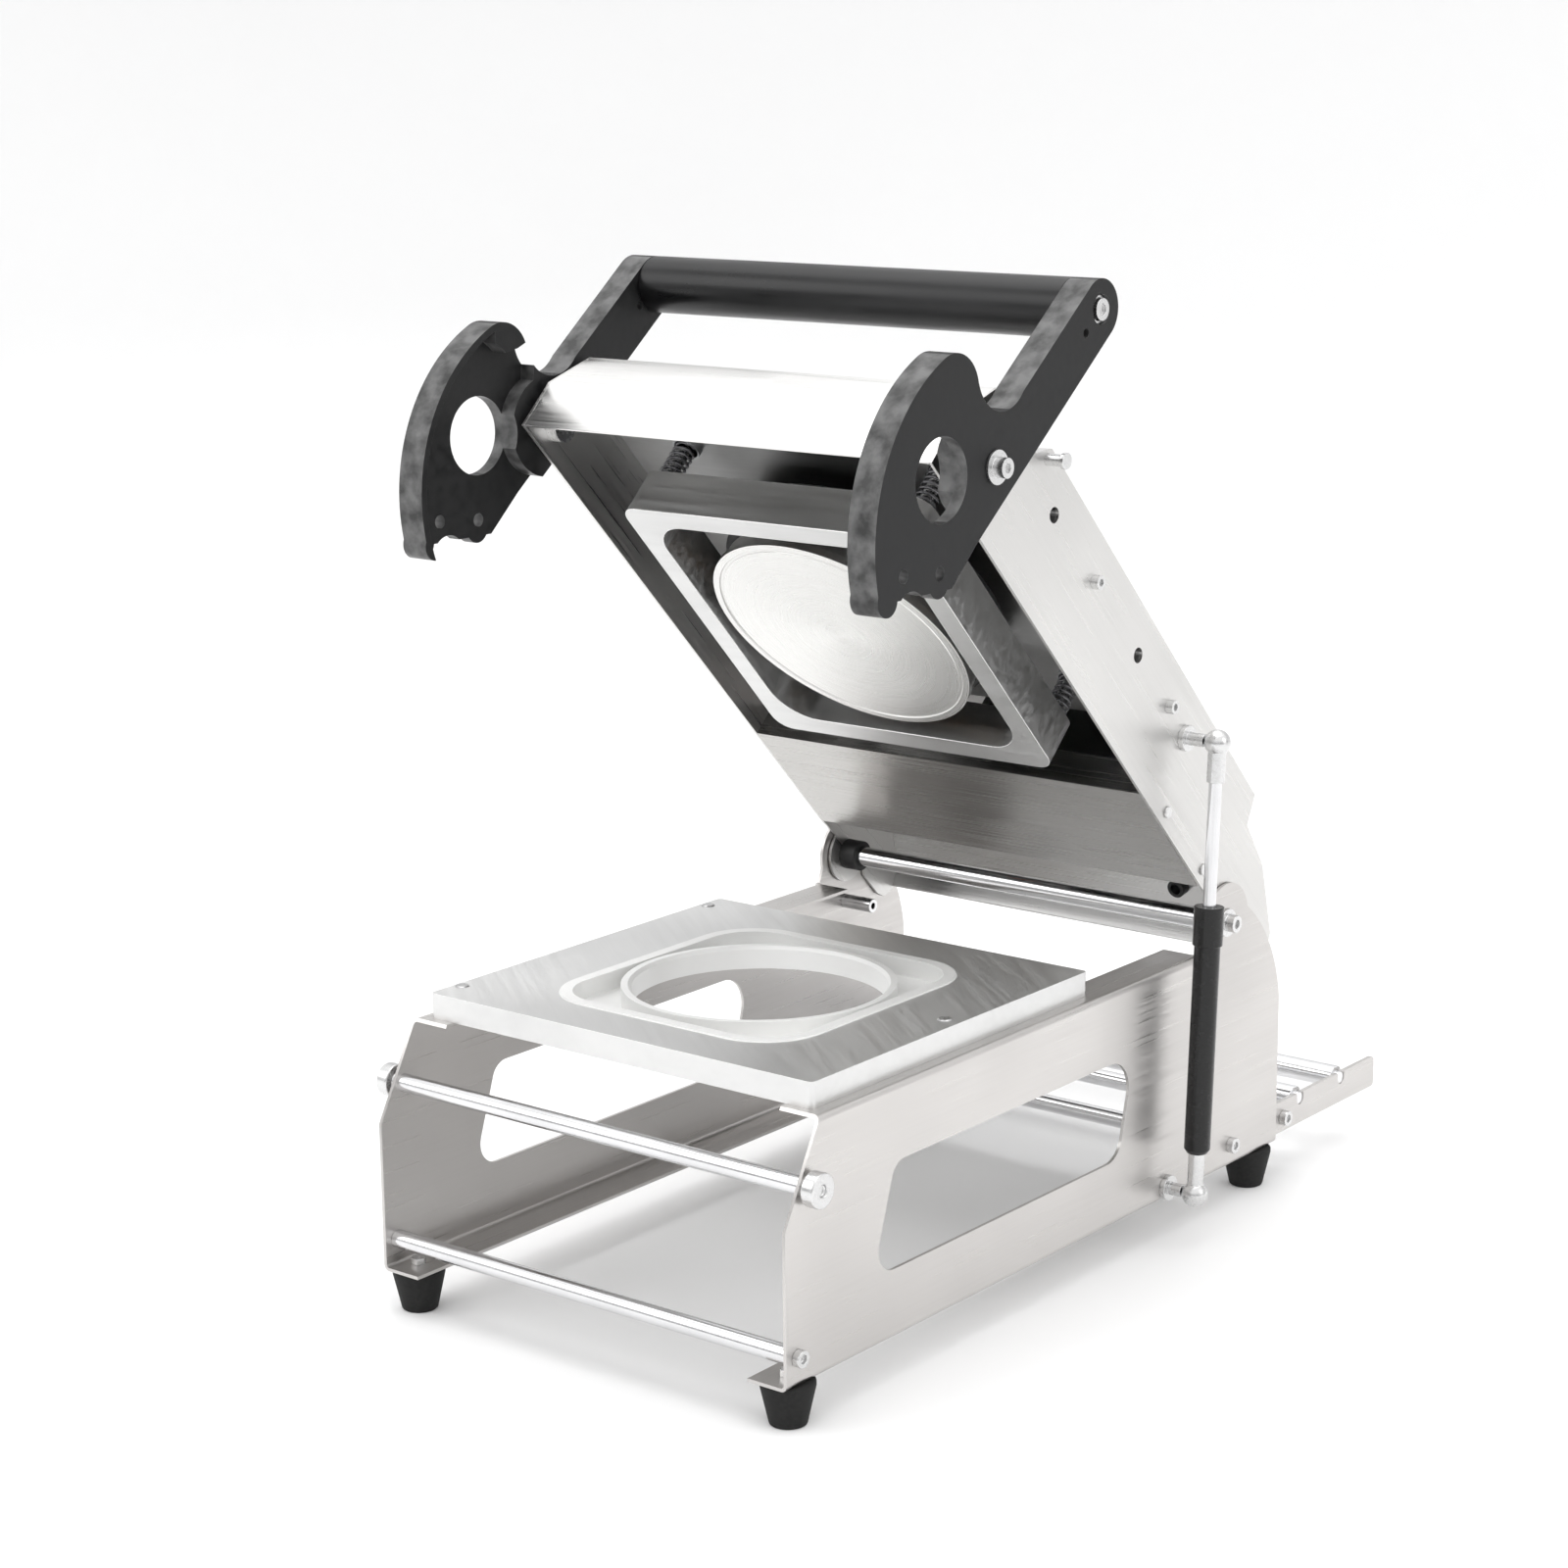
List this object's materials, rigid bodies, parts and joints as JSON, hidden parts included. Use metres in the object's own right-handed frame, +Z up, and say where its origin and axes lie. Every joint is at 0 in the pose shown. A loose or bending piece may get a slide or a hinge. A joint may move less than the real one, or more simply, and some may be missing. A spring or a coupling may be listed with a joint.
{
  "type": "manual tray sealing machine",
  "caption": "Lever-locked bench tray sealer with an open hinged sealing head, a round tray opening and a film roll cradle behind.",
  "frame": {"origin": "centre of the footprint on the table, midway across the machine and midway along its length with the film roll arms", "axes": "+X to the machine's right seen from the front, +Y to the back, +Z up"},
  "size_m": [0.3577, 0.64, 0.5963],
  "materials": {
    "brushed_sheet": "fine brushed grain",
    "housing_sheet": "fine brushed grain",
    "cover_sheet": "fine brushed grain",
    "machined_aluminium": "satin milled",
    "turned_aluminium": "fine turned satin",
    "polished_rod": "bright polished",
    "lever_plastic": "matte with rubbed edges",
    "handle_plastic": "satin moulded",
    "rubber": "matte",
    "black_enamel": "semi-gloss",
    "black_plastic": "fine grain",
    "pale_plastic": "matte",
    "lamp_lens": "clear gloss",
    "dial_face": "satin",
    "heater_foil": "film over foil",
    "spring_steel": "oiled",
    "zinc_steel": "zinc plated",
    "bright_fastener": "satin"
  },
  "bodies": {
    "base": {"side_plate_left": "brushed_sheet", "side_plate_right": "brushed_sheet", "tool_plate": "machined_aluminium", "bowl_insert": "machined_aluminium", "tool_plate_pins": "bright_fastener", "upper_front_rod": "polished_rod", "latch_studs": "bright_fastener", "lower_front_rod": "polished_rod", "lower_rear_rod": "polished_rod", "rod_screws": "bright_fastener", "hinge_shaft": "polished_rod", "hinge_screws": "bright_fastener", "stop_studs": "bright_fastener", "rubber_feet": "rubber", "foot_screws": "bright_fastener", "roll_arm_left": "brushed_sheet", "roll_arm_right": "brushed_sheet", "roll_arm_rod": "polished_rod", "roll_arm_screws": "bright_fastener", "lower_ball_stud": "bright_fastener"},
    "head": {"front_hood": "housing_sheet", "top_cover": "housing_sheet", "rear_hood": "housing_sheet", "head_side_left": "brushed_sheet", "head_side_right": "brushed_sheet", "rear_cover": "cover_sheet", "rear_cover_screws": "bright_fastener", "carrier_plate": "machined_aluminium", "carrier_screws": "bright_fastener", "hinge_bushes": "black_plastic", "lever_stop_pins": "bright_fastener", "lever_pivots": "bright_fastener", "upper_ball_stud": "bright_fastener", "spring_cups": "zinc_steel", "thermostat_body": "black_plastic", "dial_plate": "dial_face", "indicator_lamp": "lamp_lens", "switch_housing": "black_plastic", "cable_gland": "black_plastic", "terminal_block": "pale_plastic", "clamp_guides": "bright_fastener"},
    "clamp": {"clamp_frame": "machined_aluminium", "clamp_springs": "spring_steel"},
    "press": {"platen": "turned_aluminium", "heater_element": "heater_foil", "insulator": "black_plastic", "platen_spindle": "bright_fastener", "platen_spring": "spring_steel", "temperature_probe": "bright_fastener"},
    "levers": {"cam_lever_left": "lever_plastic", "cam_lever_right": "lever_plastic", "handle_bar": "handle_plastic", "handle_screws": "bright_fastener"},
    "gas_cylinder": {"gas_tube": "black_enamel", "gas_lower_socket": "bright_fastener"},
    "gas_piston": {"gas_rod": "polished_rod", "gas_upper_socket": "bright_fastener"},
    "front_roller": {"film_roller_front": "polished_rod"},
    "rear_roller": {"film_roller_rear": "polished_rod"},
    "knob": {"thermostat_knob": "black_plastic"},
    "rocker": {"power_rocker": "black_plastic"}
  },
  "joints": [
    {"name": "head_hinge", "type": "hinge", "parent": "base", "child": "head", "pos_m": [0, 0.122, 0.187], "axis": [1, 0, 0], "range_deg": [0, 46.5], "stiffness_Nm_per_rad": 28, "springref_deg": -57.3},
    {"name": "clamp_slide", "type": "slide", "parent": "head", "child": "clamp", "axis": [0, 0.7254, 0.6884], "range_m": [0, 0.0129]},
    {"name": "platen_slide", "type": "slide", "parent": "head", "child": "press", "axis": [0, 0.7254, 0.6884], "range_m": [0, 0.0104]},
    {"name": "lever_hinge", "type": "hinge", "parent": "head", "child": "levers", "pos_m": [0, -0.15867, 0.50339], "axis": [1, 0, 0], "range_deg": [-25, 82]},
    {"name": "gas_swing", "type": "hinge", "parent": "base", "child": "gas_cylinder", "pos_m": [0.1705, 0.056, 0.033], "axis": [1, 0, 0], "range_deg": [0, 19.79]},
    {"name": "gas_slide", "type": "slide", "parent": "gas_cylinder", "child": "gas_piston", "axis": [0, 0.0593, 0.9982], "range_m": [-0.06728, 0]},
    {"name": "front_roller_spin", "type": "hinge", "parent": "base", "child": "front_roller", "pos_m": [0, 0.222, 0.046], "axis": [1, 0, 0], "continuous": true},
    {"name": "rear_roller_spin", "type": "hinge", "parent": "base", "child": "rear_roller", "pos_m": [0, 0.2755, 0.046], "axis": [1, 0, 0], "continuous": true},
    {"name": "thermostat_turn", "type": "hinge", "parent": "head", "child": "knob", "pos_m": [0.07, 0.12308, 0.30934], "axis": [0, 0.7254, 0.6884], "range_deg": [-150, 150]},
    {"name": "rocker_tilt", "type": "hinge", "parent": "head", "child": "rocker", "pos_m": [-0.01, 0.1151, 0.30177], "axis": [1, 0, 0], "range_deg": [-16, 0]}
  ],
  "couplings": [
    {"joint": "clamp_slide", "follows": "head_hinge", "m_per_rad": 0.015893},
    {"joint": "platen_slide", "follows": "head_hinge", "m_per_rad": 0.012813},
    {"joint": "gas_swing", "follows": "head_hinge", "ratio": 0.41915},
    {"joint": "gas_slide", "follows": "head_hinge", "m_per_rad": -0.08266}
  ]
}
